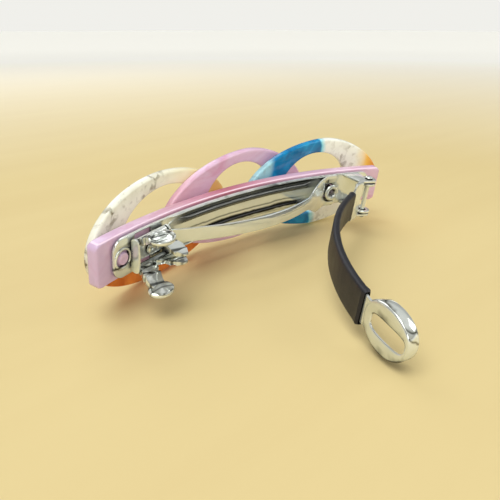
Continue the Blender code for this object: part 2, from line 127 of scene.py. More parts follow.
def about_hinge(x, y, z):
    """A point measured from the hinge, along the clip's own axes."""
    return on_front(*HINGE) + Vector((x, y, z))


def on_finger(side):
    """The frame of a catch finger's pivot: x along the clip, y away from its middle, z out of it."""
    middle = on_front(CATCH_STATION, side * PIVOT[0], PIVOT[1])
    turn = Matrix.Rotation(-CATCH_STATION / FRONT_RADIUS, 3, "Y")

    def place(x, y, z):
        return middle + turn @ Vector((x, side * y, z))

    return place


# ---------------------------------------------------------------- shapes

def superellipse(half_length, half_width, exponent, count, shift=0.0):
    """A closed outline that is an ellipse at exponent 2, and squarer above that."""
    points = []
    for index in range(count):
        angle = 2 * math.pi * index / count
        cosine, sine = math.cos(angle), math.sin(angle)
        points.append((
            shift + half_length * math.copysign(abs(cosine) ** (2 / exponent), cosine),
            half_width * math.copysign(abs(sine) ** (2 / exponent), sine),
        ))
    return points


def circle(centre_x, centre_y, radius, count=32):
    return [(x + centre_x, y + centre_y) for x, y in superellipse(radius, radius, 2, count)]


def rounded_rectangle(length, width, corner, centre=(0.0, 0.0), steps=6):
    points = []
    for quadrant, (sx, sy) in enumerate(((1, 1), (-1, 1), (-1, -1), (1, -1))):
        for step in range(steps + 1):
            angle = math.pi / 2 * (quadrant + step / steps)
            points.append((
                centre[0] + sx * (length / 2 - corner) + corner * math.cos(angle),
                centre[1] + sy * (width / 2 - corner) + corner * math.sin(angle),
            ))
    return points


def loft(rings, closed=False):
    """Skins a row of closed rings that have the same number of points."""
    shape = bmesh.new()
    made = [[shape.verts.new(point) for point in ring] for ring in rings]
    pairs = list(zip(made, made[1:]))
    if closed:
        pairs.append((made[-1], made[0]))
    count = len(made[0])
    for first, second in pairs:
        for index in range(count):
            following = (index + 1) % count
            shape.faces.new((first[index], first[following], second[following], second[index]))
    if not closed:
        shape.faces.new(list(reversed(made[0])))
        shape.faces.new(made[-1])
    bmesh.ops.recalc_face_normals(shape, faces=shape.faces)
    return shape


def lathe(outline, count=40):
    """Turns an outline of (radius, height) about z.  Its ends lie on the axis, or it is a closed loop."""
    rings = []
    for index in range(count):
        angle = 2 * math.pi * index / count
        rings.append([Vector((r * math.cos(angle), r * math.sin(angle), z)) for r, z in outline])
    shape = loft(rings, closed=True)
    bmesh.ops.remove_doubles(shape, verts=shape.verts, dist=0.001)
    bmesh.ops.dissolve_degenerate(shape, edges=shape.edges, dist=0.0005)
    bmesh.ops.recalc_face_normals(shape, faces=shape.faces)
    return shape


def plate(outlines, bottom, top, edge=0.12):
    """A flat plate with rounded rims; the first outline is its edge, and the others are holes."""
    curve = bpy.data.curves.new("outline", "CURVE")
    curve.dimensions = "2D"
    curve.fill_mode = "BOTH"
    curve.extrude = (top - bottom) / 2
    for points in outlines:
        spline = curve.splines.new("POLY")
        spline.points.add(len(points) - 1)
        for slot, (x, y) in zip(spline.points, points):
            slot.co = (x, y, 0, 1)
        spline.use_cyclic_u = True
    drawn = bpy.data.objects.new("outline", curve)
    bpy.context.scene.collection.objects.link(drawn)
    evaluated = drawn.evaluated_get(bpy.context.evaluated_depsgraph_get())
    mesh = bpy.data.meshes.new_from_object(evaluated)
    bpy.data.objects.remove(drawn)
    shape = bmesh.new()
    shape.from_mesh(mesh)
    bpy.data.meshes.remove(mesh)
    bmesh.ops.remove_doubles(shape, verts=shape.verts, dist=0.001)
    bmesh.ops.dissolve_limit(shape, verts=shape.verts, edges=shape.edges, angle_limit=math.radians(0.5))
    bmesh.ops.translate(shape, verts=shape.verts, vec=(0, 0, (top + bottom) / 2))
    rim = [e for e in shape.edges if e.calc_face_angle(0.0) > math.radians(70)]
    bmesh.ops.bevel(shape, geom=rim, offset=edge, segments=3, affect="EDGES", profile=0.5)
    return shape


def sliced(shape, start, stop, pitch, axis=0):
    """Cuts faces at a regular pitch, so that the shape can bend there."""
    normal = [0.0, 0.0, 0.0]
    normal[axis] = 1.0
    position = start
    while position < stop:
        parts = list(shape.verts) + list(shape.edges) + list(shape.faces)
        bmesh.ops.bisect_plane(shape, geom=parts, dist=0.0001, plane_co=[position * n for n in normal],
                               plane_no=normal)
        position += pitch
    return shape


def bent(shape, place):
    """Moves every point of a flat or straight shape to where place(x, y, z) says."""
    for vertex in shape.verts:
        vertex.co = place(*vertex.co)
    return shape


def turned(shape, angle, axis):
    bmesh.ops.rotate(shape, verts=shape.verts, cent=(0, 0, 0), matrix=Matrix.Rotation(angle, 3, axis))
    return shape


def moved(shape, x=0.0, y=0.0, z=0.0):
    bmesh.ops.translate(shape, verts=shape.verts, vec=(x, y, z))
    return shape


def scaled(shape, x, y, z):
    bmesh.ops.scale(shape, verts=shape.verts, vec=(x, y, z))
    return shape


def block(sections, edge=0.15):
    """A faceted bar through level rectangles, each (x, y, z, length, width), with rounded edges."""
    rings = [[Vector((x - a / 2, y - b / 2, z)), Vector((x + a / 2, y - b / 2, z)),
              Vector((x + a / 2, y + b / 2, z)), Vector((x - a / 2, y + b / 2, z))]
             for x, y, z, a, b in sections]
    shape = loft(rings)
    bmesh.ops.bevel(shape, geom=list(shape.edges), offset=edge, segments=2, affect="EDGES", profile=0.6)
    return shape


def together(*shapes):
    """Puts shapes that touch or overlap into one mesh."""
    mesh = bpy.data.meshes.new("part")
    joined = bmesh.new()
    for shape in shapes:
        shape.to_mesh(mesh)
        joined.from_mesh(mesh)
        shape.free()
    bpy.data.meshes.remove(mesh)
    return joined


def smoothstep(value):
    """0 up to 0, 1 from 1, and a soft step between."""
    value = min(max(value, 0.0), 1.0)
    return value * value * (3 - 2 * value)


def piece(name, shape, look, body, nodes, slot, angle=40):
    """Makes an object of a shape in the clip's own millimetres, and lets it stand for CAD nodes."""
    for vertex in shape.verts:
        vertex.co = to_world(vertex.co)
    mesh = bpy.data.meshes.new(name)
    bmesh.ops.recalc_face_normals(shape, faces=shape.faces)
    shape.to_mesh(mesh)
    shape.free()
    mesh.shade_smooth()
    mesh.set_sharp_from_angle(angle=math.radians(angle))
    thing = bpy.data.objects.new(name, mesh)
    bpy.context.scene.collection.objects.link(thing)
    mesh.materials.append(look)
    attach(thing, body)
    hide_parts(*nodes)
    return thing


# ---------------------------------------------------------------- materials

BLACK_STOP = (0.0, 0.0, 0.0, 1.0)
WHITE_STOP = (1.0, 1.0, 1.0, 1.0)


class Look:
    """A Principled material with short helpers for the nodes that feed it."""

    def __init__(self, name, **settings):
        self.material = bpy.data.materials.new(name)
        self.material.use_nodes = True
        self.tree = self.material.node_tree
        self.shader = self.tree.nodes["Principled BSDF"]
        self.output = self.tree.nodes["Material Output"]
        for key, value in settings.items():
            self.shader.inputs[key.replace("_", " ")].default_value = value
        self.place = self.node("ShaderNodeTexCoord").outputs["Object"]

    def node(self, kind, **inputs):
        made = self.tree.nodes.new(kind)
        for key, value in inputs.items():
            self.feed(made.inputs[key.replace("_", " ")], value)
        return made

    def feed(self, socket, value):
        if isinstance(value, bpy.types.NodeSocket):
            self.tree.links.new(value, socket)
        else:
            socket.default_value = value

    def scaled_place(self, x, y, z):
        mapping = self.node("ShaderNodeMapping", Vector=self.place, Scale=(x, y, z))
        return mapping.outputs["Vector"]

    def noise(self, scale, detail=3.0, distortion=0.0, vector=None):
        made = self.node("ShaderNodeTexNoise", Vector=vector or self.place, Scale=scale, Detail=detail,
                         Distortion=distortion, Roughness=0.5)
        return made.outputs["Fac"]

    def ramp(self, value, *stops):
        """Blends from colour to colour; each stop is a place from 0 to 1 and its colour."""
        made = self.node("ShaderNodeValToRGB", Fac=value)
        marks = made.color_ramp.elements
        while len(marks) < len(stops):
            marks.new(0.5)
        for mark, (position, colour) in zip(marks, stops):
            mark.position = position
            mark.color = colour
        return made.outputs["Color"]

    def rising(self, value, low, high):
        """0 up to low, and 1 from high."""
        return self.ramp(value, (low, BLACK_STOP), (high, WHITE_STOP))

    def falling(self, value, low, high):
        """1 up to low, and 0 from high."""
        return self.ramp(value, (low, WHITE_STOP), (high, BLACK_STOP))

    def math(self, operation, first, second):
        made = self.tree.nodes.new("ShaderNodeMath")
        made.operation = operation
        self.feed(made.inputs[0], first)
        self.feed(made.inputs[1], second)
        return made.outputs[0]

    def mix(self, share, first, second, blend="MIX"):
        made = self.tree.nodes.new("ShaderNodeMix")
        made.data_type = "RGBA"
        made.blend_type = blend
        self.feed(made.inputs["Factor"], share)
        self.feed(made.inputs["A"], first)
        self.feed(made.inputs["B"], second)
        return made.outputs["Result"]

    def axis(self, name):
        return self.node("ShaderNodeSeparateXYZ", Vector=self.place).outputs[name]

    def spread(self, value, low, high):
        """Takes low to high, given in mm for a value in metres, to 0 to 1."""
        made = self.node("ShaderNodeMapRange", Value=value, From_Min=low * MM, From_Max=high * MM)
        return made.outputs["Result"]

    def dot(self, vector, direction):
        made = self.tree.nodes.new("ShaderNodeVectorMath")
        made.operation = "DOT_PRODUCT"
        self.feed(made.inputs[0], vector)
        self.feed(made.inputs[1], direction)
        return made.outputs["Value"]

    def clip_axis(self, direction):
        """How far a point lies along one of the clip's own axes."""
        return self.math("SUBTRACT", self.dot(self.place, direction), ORIGIN.dot(direction))

    def band(self, value, low, high, soft=0.25):
        """1 between two places in mm, and 0 outside them."""
        share = 2 * soft / (high - low + 2 * soft)
        return self.ramp(self.spread(value, low - soft, high + soft), (0.0, BLACK_STOP),
                         (share, WHITE_STOP), (1 - share, WHITE_STOP), (1.0, BLACK_STOP))

    def distance(self):
        """How far a point lies from the middle of the floor."""
        made = self.tree.nodes.new("ShaderNodeVectorMath")
        made.operation = "LENGTH"
        self.feed(made.inputs[0], self.place)
        return made.outputs["Value"]

    def grey(self, value, low, high):
        """Takes 0 to 1 to low to high."""
        return self.node("ShaderNodeMapRange", Value=value, To_Min=low, To_Max=high).outputs["Result"]

    def bump(self, height, distance, strength=1.0, under=None):
        made = self.node("ShaderNodeBump", Height=height, Distance=distance, Strength=strength)
        if under is not None:
            self.tree.links.new(under, made.inputs["Normal"])
        return made.outputs["Normal"]

    def use(self, socket, value):
        self.feed(self.shader.inputs[socket], value)

    def tinted_shadow(self, colour, share):
        """Lets part of the light from lamps through, tinted, as translucent acetate does."""
        path = self.node("ShaderNodeLightPath").outputs["Is Shadow Ray"]
        clear = self.node("ShaderNodeBsdfTransparent", Color=colour)
        mixer = self.tree.nodes.new("ShaderNodeMixShader")
        self.feed(mixer.inputs["Fac"], self.math("MULTIPLY", path, share))
        self.tree.links.new(self.shader.outputs["BSDF"], mixer.inputs[1])
        self.tree.links.new(clear.outputs["BSDF"], mixer.inputs[2])
        self.tree.links.new(mixer.outputs["Shader"], self.output.inputs["Surface"])


def srgb(*colour):
    """A display colour, as the linear one that a node takes."""
    linear = [((c + 0.055) / 1.055) ** 2.4 if c > 0.04045 else c / 12.92 for c in colour]
    return (*linear, 1.0)


def acetate(name, transmission):
    """Cellulose acetate: glossy, slightly see-through plastic, with a faint painted glow."""
    return Look(name, IOR=1.48, Transmission_Weight=transmission, Coat_Weight=0.15, Coat_Roughness=0.04,
                Specular_IOR_Level=0.4, Emission_Strength=0.05)


def finish_acetate(look, colour, share):
    """Adds what all acetate shares: a faint painted glow that stands in for light carried inside it,
    ripples, polish marks and tinted shadows.
    """
    look.use("Base Color", colour)
    # Painted glow: the acetate lights itself faintly in its own colour, in place of light carried inside
    # it.
    look.use("Emission Color", colour)
    ripples = look.noise(260.0, 2.0)
    marks = look.noise(5200.0, 3.0)
    look.use("Roughness", look.grey(marks, 0.05, 0.13))
    look.use("Normal", look.bump(ripples, 0.0004, 0.25))
    look.tinted_shadow(colour, share)
    return look.material


def pearl(look, low, high, rose):
    """Pearly marbling that runs along the clip."""
    stretched = look.scaled_place(0.35, 1.0, 1.0)
    swirl = look.noise(170.0, 4.0, 1.6, stretched)
    base = look.ramp(swirl, (0.30, low), (0.50, high), (0.72, rose))
    fine = look.noise(900.0, 5.0, 0.6, stretched)
    return look.mix(look.grey(fine, 0.0, 0.22), base, srgb(0.97, 0.88, 0.94))


def pink_acetate():
    """Pearly pink, rosier left of the middle and lilac at the left end, with a painted highlight line along
    an edge.
    """
    look = acetate("acetate_pink", 0.12)
    colour = pearl(look, srgb(0.80, 0.63, 0.72), srgb(0.86, 0.73, 0.81), srgb(0.81, 0.57, 0.67))
    along, across = look.clip_axis(ALONG), look.clip_axis(ACROSS)
    rosy = look.band(along, -18.0, 8.0, 12.0)
    colour = look.mix(look.math("MULTIPLY", rosy, 0.9), colour, srgb(0.72, 0.40, 0.46))
    lilac = look.spread(along, -28.0, -42.0)
    colour = look.mix(look.math("MULTIPLY", lilac, 0.7), colour, srgb(0.81, 0.72, 0.85))
    # A painted highlight along the bar's top front edge.
    painted_highlight = look.band(across, 4.66, 4.84, 0.05)
    colour = look.mix(look.math("MULTIPLY", painted_highlight, 0.95), colour, srgb(0.98, 0.88, 0.94))
    return finish_acetate(look, colour, 0.25)


def rose_acetate():
    """Pearly rose, a little warmer at the left."""
    look = acetate("acetate_rose", 0.22)
    colour = pearl(look, srgb(0.86, 0.70, 0.80), srgb(0.89, 0.77, 0.86), srgb(0.85, 0.64, 0.75))
    warm = look.spread(look.axis("X"), -14.0, -26.0)
    colour = look.mix(look.math("MULTIPLY", warm, 0.5), colour, srgb(0.90, 0.62, 0.62))
    return finish_acetate(look, colour, 0.45)


def smudges(look, colour, strength):
    """Cloudy grey-brown smudges and fine specks, as in tortoiseshell offcuts."""
    clouds = look.rising(look.noise(160.0, 3.0, 0.4), 0.42, 0.62)
    colour = look.mix(look.math("MULTIPLY", clouds, strength * 0.25), colour, srgb(0.66, 0.62, 0.52))
    dots = look.rising(look.noise(520.0, 3.0, 0.3), 0.52, 0.62)
    dots = look.math("MULTIPLY", dots, look.math("ADD", look.math("MULTIPLY", clouds, 0.8), 0.2))
    return look.mix(look.math("MULTIPLY", dots, strength), colour, srgb(0.44, 0.40, 0.30))


def orange_acetate():
    """Milky and smudged at the left, pale yellow at the top right, and orange along the lower side."""
    look = acetate("acetate_orange", 0.15)
    wobble = look.math("SUBTRACT", look.noise(110.0, 3.0, 0.8), 0.5)
    x = look.math("ADD", look.spread(look.axis("X"), -48.0, -3.0), look.math("MULTIPLY", wobble, 0.16))
    z = look.math("ADD", look.spread(look.axis("Z"), 0.0, 25.0), look.math("MULTIPLY", wobble, 0.20))
    spotted = look.falling(x, 0.42, 0.60)
    milky = look.mix(spotted, srgb(0.96, 0.95, 0.87), smudges(look, srgb(0.95, 0.95, 0.89), 1.0))
    yellow = look.ramp(x, (0.55, srgb(0.96, 0.95, 0.84)), (0.76, srgb(0.97, 0.92, 0.70)),
                       (0.88, srgb(0.95, 0.78, 0.46)))
    upper = look.mix(look.rising(x, 0.50, 0.72), milky, yellow)
    orange = look.ramp(look.noise(170.0, 3.0, 0.6), (0.35, srgb(0.78, 0.40, 0.12)),
                       (0.65, srgb(0.90, 0.55, 0.22)))
    low = look.falling(z, 0.30, 0.50)
    right = look.rising(x, 0.03, 0.12)
    return finish_acetate(look, look.mix(look.math("MULTIPLY", low, right), upper, orange), 0.6)


def blue_acetate():
    """Speckled aqua, then blue with a sharp end, clear with specks, and amber at the right."""
    look = acetate("acetate_blue", 0.04)
    wobble = look.math("SUBTRACT", look.noise(120.0, 3.0, 0.5), 0.5)
    x = look.math("ADD", look.spread(look.axis("X"), 0.0, 48.0), look.math("MULTIPLY", wobble, 0.10))
    blues = look.ramp(look.noise(160.0, 4.0, 1.2), (0.35, srgb(0.0, 0.40, 0.60)),
                      (0.55, srgb(0.0, 0.51, 0.72)), (0.75, srgb(0.10, 0.64, 0.82)))
    clear = smudges(look, srgb(0.96, 0.97, 0.93), 0.7)
    aqua = smudges(look, srgb(0.62, 0.82, 0.86), 0.45)
    ends = look.ramp(x, (0.80, srgb(0.95, 0.92, 0.76)), (0.89, srgb(0.94, 0.74, 0.34)),
                     (0.96, srgb(0.84, 0.48, 0.14)))
    start = look.falling(x, 0.12, 0.17)
    after = look.rising(x, 0.495, 0.505)
    cyan = look.falling(x, 0.50, 0.54)
    late = look.rising(x, 0.78, 0.88)
    colour = look.mix(start, blues, aqua)
    colour = look.mix(after, colour, look.mix(cyan, clear, srgb(0.45, 0.84, 0.92)))
    colour = look.mix(late, colour, ends)
    return finish_acetate(look, colour, 0.6)


# Painted shade and painted reflections on the nickel, by how far a surface faces along SHADE_AXIS, from 0,
# away, to 1, towards it
SHADE_AXIS = (0.25, -0.30, 0.92)
SHADE_STOPS = (
    (0.0, (0.05, 0.05, 0.045, 1.0)),
    (0.22, (0.10, 0.10, 0.09, 1.0)),
    (0.33, (0.85, 0.86, 0.83, 1.0)),
    (0.67, WHITE_STOP),
    (0.71, (0.22, 0.20, 0.15, 1.0)),
    (0.75, (0.95, 0.95, 0.92, 1.0)),
    (0.85, WHITE_STOP),
    (0.89, (0.16, 0.16, 0.13, 1.0)),
    (0.94, (0.9, 0.9, 0.88, 1.0)),
    (1.0, WHITE_STOP),
)


def nickel(name, painted_shade_streaks=(), rings=()):
    """Bright nickel on stamped steel: soft dents, painted crease shade, and painted shade and reflections
    by surface turn.

    A streak is a painted dark patch of the clip, standing in for shade and dark reflections: its limits
    across, its limits along, and its strength.  A ring is a painted dark band of the same kind around what
    stands out of the clip: its limits in height, and its strength.
    """
    look = Look(name, Metallic=0.62, IOR=1.6)
    # The colour of the painted shade and dark reflections.
    painted_shade_colour = srgb(0.10, 0.10, 0.08)
    drawn = look.noise(900.0, 4.0, 0.0, look.scaled_place(0.08, 1.0, 1.0))
    clouds = look.noise(130.0, 3.0, 0.6)
    colour = look.mix(look.grey(clouds, 0.0, 1.0), srgb(0.88, 0.91, 0.89), srgb(0.97, 0.98, 0.96))

    wander = look.math("MULTIPLY", look.math("SUBTRACT", clouds, 0.5), MM)
    along, across = look.clip_axis(ALONG), look.math("ADD", look.clip_axis(ACROSS), wander)
    # Painted shade and dark reflections, in patches of the clip.
    for low, high, start, stop, strength in painted_shade_streaks:
        shade_streak_mask = look.math("MULTIPLY", look.band(across, low, high, 0.2),
                           look.band(along, start, stop, 2.5))
        colour = look.mix(look.math("MULTIPLY", shade_streak_mask, strength), colour, painted_shade_colour)
    # Painted shade and dark reflections, in bands by height.
    out = look.clip_axis(OUT)
    for low, high, strength in rings:
        ring = look.math("MULTIPLY", look.band(out, low, high, 0.12), strength)
        colour = look.mix(ring, colour, painted_shade_colour)

    # Painted shade and reflections: the colour darkens in bands by which way the surface faces.
    facing = look.dot(look.node("ShaderNodeTexCoord").outputs["Normal"], SHADE_AXIS)
    facing = look.node("ShaderNodeMapRange", Value=facing, From_Min=-1.0, From_Max=1.0).outputs["Result"]
    uneven = look.math("MULTIPLY", look.math("SUBTRACT", look.noise(300.0, 2.0), 0.5), 0.30)
    shade = look.ramp(look.math("ADD", facing, uneven), *SHADE_STOPS)
    colour = look.mix(1.0, colour, shade, "MULTIPLY")

    # Painted shade: the colour darkens in creases and between parts, by ambient occlusion.
    painted_crease_shade = look.node("ShaderNodeAmbientOcclusion", Distance=1.6 * MM).outputs["AO"]
    colour = look.mix(look.rising(painted_crease_shade, 0.30, 0.75), srgb(0.16, 0.16, 0.13), colour)
    look.use("Base Color", colour)
    look.use("Roughness", look.math("ADD", look.grey(drawn, 0.06, 0.14), look.grey(clouds, -0.02, 0.05)))
    dents = look.bump(look.noise(240.0, 2.0), 0.0006, 0.30)
    look.use("Normal", look.bump(drawn, 0.00008, 0.25, dents))
    return look.material


def black_tube():
    """Satin black tubing: fine grain, and faint rub marks along it."""
    look = Look("sleeve_black", IOR=1.4)
    grain = look.noise(2600.0, 4.0)
    rubbed = look.noise(120.0, 4.0, 0.4)
    worn = look.grey(rubbed, 0.0, 0.8)
    look.use("Base Color", look.mix(worn, srgb(0.10, 0.10, 0.12), srgb(0.17, 0.17, 0.19)))
    look.use("Roughness", look.math("ADD", look.grey(rubbed, 0.34, 0.56), look.grey(grain, -0.04, 0.06)))
    soft = look.bump(look.noise(180.0, 2.0), 0.0006, 0.35)
    look.use("Normal", look.bump(grain, 0.00006, 0.4, soft))
    return look.material


NICKEL = nickel("nickel")
# Painted shade and dark reflections: dark patches on the base and the bow, and dark bands on the fingers.
BASE_NICKEL = nickel("nickel_base", ((1.6, 4.1, -22.0, 22.0, 0.85), (3.4, 4.2, 6.0, 22.0, 1.0),
                                     (-2.3, -1.2, -14.0, 19.0, 1.0), (-0.6, -0.3, -18.0, 18.0, 0.9),
                                     (-1.7, -1.2, -41.0, -34.0, 0.95), (2.2, 2.8, -36.0, -26.0, 0.8)))
FINGER_NICKEL = nickel("nickel_finger", rings=((7.35, 7.7, 1.0), (8.75, 9.05, 1.0), (10.9, 11.5, 0.85),
                                               (12.6, 12.9, 0.7)))
BOW_NICKEL = nickel("nickel_bow", ((0.9, 3.4, 23.5, 26.5, 0.92), (0.35, 0.5, 2.0, 14.0, 0.5)))
PINK = pink_acetate()
ROSE = rose_acetate()
ORANGE = orange_acetate()
BLUE = blue_acetate()
BLACK = black_tube()


# ---------------------------------------------------------------- acetate links and bar

def rounded_section(width, thickness, radius, dome=0.0):
    """A rounded outline: x from 0 to width, z from 0 down to -thickness, domed on both faces."""
    points = []
    corners = ((width - radius, -radius, 0), (radius, -radius, 1),
               (radius, radius - thickness, 2), (width - radius, radius - thickness, 3))
    for cx, cz, quadrant in corners:
        for step in range(6):
            angle = math.pi / 2 * (quadrant + step / 5)
            points.append((cx + radius * math.cos(angle), cz + radius * math.sin(angle)))
        if quadrant in (0, 2):
            face = 0.0 if quadrant == 0 else -thickness
            ends = (width - radius, radius) if quadrant == 0 else (radius, width - radius)
            points += [(ends[0] + (ends[1] - ends[0]) * k / 6, face) for k in range(1, 6)]
    domed = []
    for x, z in points:
        fall = dome * (2 * x / width - 1) ** 2
        domed.append((x, z - fall if z > -thickness / 2 else z + fall))
    return domed


def link(seat, outline, window):
    """An oval ring, curved along its length: its left end is by the bar, and its right end stands off."""
    station, offset, turn_degrees = seat
    left, right, half_width, exponent = outline
    outer = [(x * (left if x < 0 else right), y) for x, y in superellipse(1.0, half_width, exponent, 176)]
    inner = superellipse(window[1], window[2], 2.0, 176, shift=window[0])
    middle = on_front(station, offset, 0.0)
    rotation = Matrix.Rotation(-station / FRONT_RADIUS, 3, "Y")
    turn = Matrix.Rotation(math.radians(turn_degrees), 2)
    slope = math.tan(LINK_TILT)
    rings = []
    for (ox, oy), (ix, iy) in zip(outer, inner):
        width = math.hypot(ox - ix, oy - iy)
        ring = []
        for along, z in rounded_section(width, LINK_THICKNESS, LINK_EDGE, LINK_DOME):
            share = along / width
            x, y = turn @ Vector((ix + (ox - ix) * share, iy + (oy - iy) * share))
            reach = LINK_RADIUS - (-BAR_THICKNESS - LINK_GAP + z - slope * (x + left))
            angle = x / LINK_RADIUS
            ring.append(middle + rotation @ Vector((reach * math.sin(angle), y,
                                                    LINK_RADIUS - reach * math.cos(angle))))
        rings.append(ring)
    return loft(rings, closed=True)


def rounding(distance, radius):
    """How much a rounded end has lost at a distance from its tip."""
    return radius - math.sqrt(max(radius ** 2 - (radius - min(distance, radius)) ** 2, 0.0))


def bar():
    """The curved bar, lofted from end to end, with the stud that rises through the clip's left hole."""
    corner = [BAR_CORNER * (1 - math.cos(math.pi / 2 * k / 8)) for k in range(9)]
    end = [0.0, 0.04, 0.14] + [distance for distance in corner if distance > 0.2]
    middle = [BAR_CORNER + (BAR_LENGTH - 2 * BAR_CORNER) * k / 60 for k in range(1, 60)]
    rings = []
    for distance in end + middle + [BAR_LENGTH - distance for distance in reversed(end)]:
        near = min(distance, BAR_LENGTH - distance)
        thin = rounding(near, BAR_EDGE)
        half = BAR_WIDTH / 2 - rounding(near, BAR_CORNER)
        edge = BAR_EDGE * (0.98 if near > BAR_EDGE else 0.6)
        section = rounded_section(2 * half, BAR_THICKNESS - 2 * thin, edge)
        station = distance - BAR_LENGTH / 2 + BAR_CENTRE
        rings.append([on_front(station, x - half, z - thin) for x, z in section])
    stud = lathe([(0.0, -1.0), (1.35, -1.0), (1.38, 0.9), (1.2, 1.2), (0.8, 1.3), (0.45, 1.22),
                  (0.0, 1.12)], 32)
    return together(loft(rings), bent(moved(stud, x=STUD_STATION), on_front))


for name, look, slot in (("link_left", ORANGE, "acetate_orange"), ("link_middle", ROSE, "acetate_rose"),
                         ("link_right", BLUE, "acetate_blue")):
    piece(name + "_ring", link(*LINKS[name]), look, "root", [name], slot)
piece("bar_body", bar(), PINK, "root", ["backing_bar"], "acetate_pink")


# ---------------------------------------------------------------- stamped metal

def rail(offset, start, stop, width, height, foot, taper=4.0):
    """A long embossed rib on the base plate."""
    rings = []
    count = 48
    for index in range(count + 1):
        station = start + (stop - start) * index / count
        near = min(station - start, stop - station)
        rise = height * smoothstep(near / taper) + 0.02
        rings.append([on_front(station, offset + width / 2 * math.cos(math.pi * k / 10),
                               foot + rise * math.sin(math.pi * k / 10)) for k in range(11)])
    return loft(rings)


def ear(offset):
    """An upright ear of the base plate, with a rounded head around the pin."""
    hinge = on_front(*HINGE)
    feet = [on_front(station, 0, 0.35) for station in (31.7, 37.0)]
    crown = [(hinge.x + KNUCKLE * math.cos(a), hinge.z + KNUCKLE * math.sin(a))
             for a in (math.radians(-35 + 10 * k) for k in range(26))]
    outline = [(feet[0].x, feet[0].z), (feet[1].x, feet[1].z)] + crown
    shape = plate([outline, circle(hinge.x, hinge.z, PIN_HOLE, 24)], -0.3, 0.3, 0.1)
    return moved(turned(shape, math.pi / 2, "X"), y=offset)


def base():
    """The stamped plate: holes, a lip around the stud, two ribs, turned-up long edges and two ears."""
    holes = [
        circle(STUD_STATION, 0, STUD_HOLE, 40),
        circle(RIVET_STATION, 0, RIVET_HOLE, 24),
        circle(*EYELET, 2.0, 32),
        rounded_rectangle(4.6, 1.4, 0.3, (-31.3, 3.2)),
        rounded_rectangle(4.6, 1.4, 0.3, (-31.3, -3.2)),
    ]
    outline = rounded_rectangle(79.8, 8.6, 2.6, (0.5, 0.0), 10)
    sheet = plate([outline] + holes, PLATE_BOTTOM, PLATE_TOP, 0.14)
    sheet = bent(sliced(sheet, -44.0, 44.0, 1.5), on_front)
    roll = [(STUD_HOLE + 0.32 + 0.32 * math.cos(a), PLATE_TOP + 0.3 * math.sin(a))
            for a in (math.pi * k / 10 for k in range(11))]
    lip = bent(moved(lathe(roll + [(1.8, 0.7), (2.3, 0.7)], 40), x=STUD_STATION), on_front)
    rails = [rail(side * 2.3, -21.5, 22.0, 1.5, 0.6, 0.88) for side in (-1, 1)]
    flanges = [rail(side * 4.02, -25.0, 30.5, 0.5, 0.45, 0.8) for side in (-1, 1)]
    return together(sheet, lip, *rails, *flanges, ear(3.85), ear(-3.85))


def eyelet():
    """A hollow eyelet with a rolled rim."""
    rim = [(1.65 + 0.62 * math.cos(a), 2.05 + 0.5 * math.sin(a))
           for a in (math.pi * k / 14 for k in range(15))]
    body = rim + [(1.0, 1.2), (1.0, -1.2), (1.62, -1.2), (1.62, 1.7), (2.0, 1.75)]
    return bent(moved(lathe(body, 48), x=EYELET[0], y=EYELET[1]), on_front)


def bow():
    """The arched spring strip: its end widens into a fork around the eyelet, and has two dimples."""
    narrow, widening, wide = 1.6, 2.7, 4.3
    fork = 2.7
    dimples = ((19.6, 1.3), (19.6, -1.3))
    centre_x, centre_y = EYELET
    notch = [(min(centre_x + fork * math.cos(a), BOW_STOP), centre_y + fork * math.sin(a))
             for a in (math.radians(90 + 10 * k) for k in range(19))]
    lower = [(BOW_START, -narrow)]
    lower += [(15.5 + 7.0 * k / 8, -narrow - widening * smoothstep(k / 8)) for k in range(9)]
    lower += [(BOW_STOP - 0.6, -wide), (BOW_STOP, -3.9), (BOW_STOP, centre_y - fork)]
    upper = [(BOW_STOP, centre_y + fork), (BOW_STOP, 3.9), (BOW_STOP - 0.6, wide)]
    upper += [(22.5 - 7.0 * k / 8, wide - widening * smoothstep(k / 8)) for k in range(9)]
    upper += [(BOW_START, narrow)]
    shape = plate([lower + list(reversed(notch)) + upper], -0.25, 0.25, 0.1)
    sliced(shape, BOW_START + 0.8, BOW_STOP, 0.8)
    for position in (-3.2, -2.4, -1.2, 0.0, 1.2, 2.4, 3.2):
        sliced(shape, position, position + 0.1, 1.0, axis=1)

    def place(x, y, z):
        share = min(abs(x - BOW_CROWN) / BOW_HALF_SPAN, 1.0)
        middle = smoothstep((15.0 - abs(x - BOW_CROWN)) / 6.0 + 1)
        crown = 0.16 * (1 - min(abs(y) / narrow, 1.0) ** 2) * middle
        dent = sum(math.exp(-((x - dx) ** 2 + (y - dy) ** 2) / 0.45) for dx, dy in dimples)
        return on_front(x, y, BOW_FOOT + BOW_RISE * (1 - share * share) + z + crown - 0.35 * dent)

    return bent(shape, place)


def bracket():
    """The catch's floor, with an upright tab at each end for the fingers' barrels."""
    left = CATCH_STATION + BARREL[0] - TAB_GAP - TAB
    right = CATCH_STATION + BARREL[1] + TAB_GAP + TAB
    floor = plate([rounded_rectangle(right - left, 3.4, 0.3, ((left + right) / 2, 0.0)),
                   circle(RIVET_STATION, 0, RIVET_HOLE, 24)], 1.2, 1.8, 0.1)
    tabs = []
    for x in (left + TAB / 2, right - TAB / 2):
        tab = plate([rounded_rectangle(2.1, 7.5, 0.9)], -TAB / 2, TAB / 2, 0.08)
        tabs.append(moved(turned(tab, math.pi / 2, "Y"), x=x, z=2.25))
    return bent(together(floor, *tabs), on_front)


def rivet():
    """A rivet's shank and low domed head."""
    outline = [(0.0, 0.4), (0.74, 0.4), (0.74, 2.1), (1.25, 2.1), (1.3, 2.25), (1.2, 2.5), (0.85, 2.68),
               (0.4, 2.74), (0.0, 2.72)]
    return bent(moved(lathe(outline, 32), x=RIVET_STATION), on_front)


